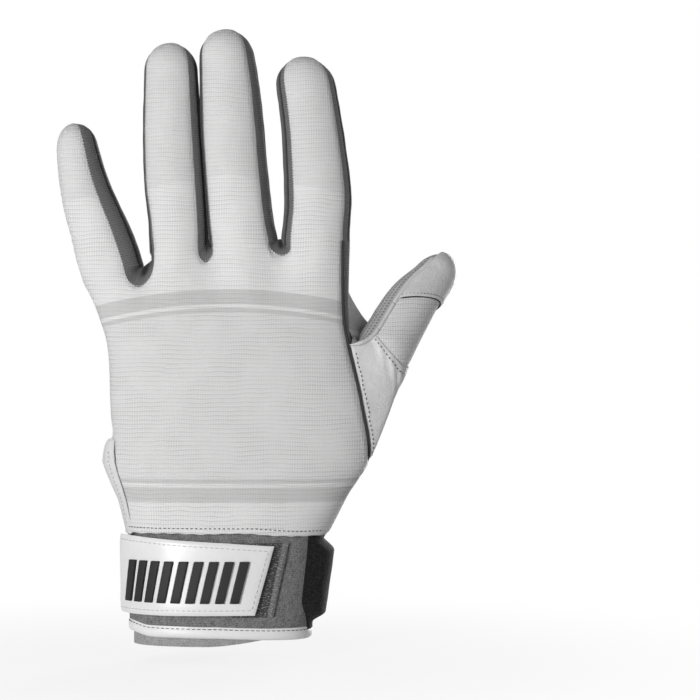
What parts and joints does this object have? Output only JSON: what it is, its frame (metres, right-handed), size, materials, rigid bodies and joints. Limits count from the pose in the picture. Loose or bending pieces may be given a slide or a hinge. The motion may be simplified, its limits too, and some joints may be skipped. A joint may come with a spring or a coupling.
{
  "type": "padded inner glove",
  "caption": "Thin padded left-hand glove with knit back, leather palm, foam pads over palm and fingers, elastic cuff, hook-and-loop strap and pull tab.",
  "frame": {"origin": "centre of the wrist opening, level with the lower edge of the hem", "axes": "+Z along the hand to the fingertips, -Y out of the back of the hand, +X to the thumb side"},
  "size_m": [0.1521, 0.0629, 0.2386],
  "materials": {
    "knit": "fine ribbed stretch knit, matt",
    "leather": "soft grained leather, dull",
    "dark_knit": "charcoal stretch knit, matt",
    "foam": "soft foam",
    "lining": "brushed lining cloth",
    "elastic": "grey heather elastic",
    "loop_fabric": "black loop fabric, very matt",
    "binding": "white folded binding, satin",
    "strap": "white coated strap, satin",
    "hook_tape": "dark grey hook tape",
    "rubber": "black moulded rubber, dull",
    "webbing": "black flat webbing, matt"
  },
  "bodies": {
    "hand": {"back_panel": "knit", "palm_panel": "leather", "index_gusset": "dark_knit", "wrist_gusset": "elastic", "palm_foam": "foam", "palm_lining": "lining", "web_ring_little": "dark_knit", "web_middle_ring": "dark_knit", "web_index_middle": "dark_knit", "thumb_root": "leather", "cuff_back_band": "elastic", "cuff_palm_band": "elastic", "cuff_side_patch": "loop_fabric", "hem_binding": "binding"},
    "index_lower": {"index_back_lower": "knit", "index_palm_lower": "leather", "index_thumbward_strip_lower": "dark_knit", "index_outer_strip_lower": "dark_knit", "index_pad_lower": "foam"},
    "index_upper": {"index_back_upper": "knit", "index_palm_upper": "leather", "index_thumbward_strip_upper": "dark_knit", "index_outer_strip_upper": "dark_knit", "index_pad_upper": "foam"},
    "middle_lower": {"middle_back_lower": "knit", "middle_palm_lower": "leather", "middle_thumbward_strip_lower": "dark_knit", "middle_outer_strip_lower": "dark_knit", "middle_pad_lower": "foam"},
    "middle_upper": {"middle_back_upper": "knit", "middle_palm_upper": "leather", "middle_thumbward_strip_upper": "dark_knit", "middle_outer_strip_upper": "dark_knit", "middle_pad_upper": "foam"},
    "ring_lower": {"ring_back_lower": "knit", "ring_palm_lower": "leather", "ring_thumbward_strip_lower": "dark_knit", "ring_outer_strip_lower": "dark_knit", "ring_pad_lower": "foam"},
    "ring_upper": {"ring_back_upper": "knit", "ring_palm_upper": "leather", "ring_thumbward_strip_upper": "dark_knit", "ring_outer_strip_upper": "dark_knit"},
    "little_lower": {"little_back_lower": "knit", "little_palm_lower": "leather", "little_thumbward_strip_lower": "dark_knit", "little_pad_lower": "foam"},
    "little_upper": {"little_back_upper": "knit", "little_palm_upper": "leather", "little_thumbward_strip_upper": "dark_knit"},
    "thumb_lower": {"thumb_back_lower": "knit", "thumb_palm_lower": "leather", "thumb_strip_lower": "dark_knit"},
    "thumb_upper": {"thumb_cap": "leather", "thumb_strip_upper": "dark_knit"},
    "strap": {"closure_strap": "strap", "strap_hook_tape": "hook_tape", "strap_grip": "rubber"},
    "pull_tab": {"pull_tab": "webbing"}
  },
  "joints": [
    {"name": "index_knuckle_fold", "type": "hinge", "parent": "hand", "child": "index_lower", "pos_m": [0.03717, 0.01127, 0.14922], "axis": [-0.9956, 0, -0.0941], "range_deg": [0, 70]},
    {"name": "index_middle_fold", "type": "hinge", "parent": "index_lower", "child": "index_upper", "pos_m": [0.03558, 0.01213, 0.16612], "axis": [-0.9956, 0, -0.0941], "range_deg": [0, 85]},
    {"name": "middle_knuckle_fold", "type": "hinge", "parent": "hand", "child": "middle_lower", "pos_m": [0.00797, 0.01127, 0.14871], "axis": [-0.9963, 0, -0.0854], "range_deg": [0, 70]},
    {"name": "middle_middle_fold", "type": "hinge", "parent": "middle_lower", "child": "middle_upper", "pos_m": [0.00635, 0.01229, 0.16762], "axis": [-0.9963, 0, -0.0854], "range_deg": [0, 85]},
    {"name": "ring_knuckle_fold", "type": "hinge", "parent": "hand", "child": "ring_lower", "pos_m": [-0.01728, 0.01077, 0.14625], "axis": [-0.9997, 0, -0.0244], "range_deg": [0, 70]},
    {"name": "ring_middle_fold", "type": "hinge", "parent": "ring_lower", "child": "ring_upper", "pos_m": [-0.01772, 0.01175, 0.16422], "axis": [-0.9997, 0, -0.0244], "range_deg": [0, 85]},
    {"name": "little_knuckle_fold", "type": "hinge", "parent": "hand", "child": "little_lower", "pos_m": [-0.04172, 0.00948, 0.13836], "axis": [-0.9641, 0, -0.2656], "range_deg": [0, 70]},
    {"name": "little_middle_fold", "type": "hinge", "parent": "little_lower", "child": "little_upper", "pos_m": [-0.0457, 0.01022, 0.15281], "axis": [-0.9641, 0, -0.2656], "range_deg": [0, 85]},
    {"name": "thumb_root_fold", "type": "hinge", "parent": "hand", "child": "thumb_lower", "pos_m": [0.05922, 0.01861, 0.10619], "axis": [-0.866, 0, 0.5], "range_deg": [0, 35]},
    {"name": "thumb_tip_fold", "type": "hinge", "parent": "thumb_lower", "child": "thumb_upper", "pos_m": [0.06985, 0.02979, 0.1246], "axis": [-0.866, 0, 0.5], "range_deg": [0, 50]},
    {"name": "strap_swing", "type": "hinge", "parent": "hand", "child": "strap", "pos_m": [-0.0368, 0, 0.0238], "axis": [0, 0, -1], "range_deg": [0, 120]},
    {"name": "pull_tab_swing", "type": "hinge", "parent": "hand", "child": "pull_tab", "pos_m": [-0.0032, 0.0234, 0.0346], "axis": [1, 0, 0], "range_deg": [0, 80]}
  ]
}
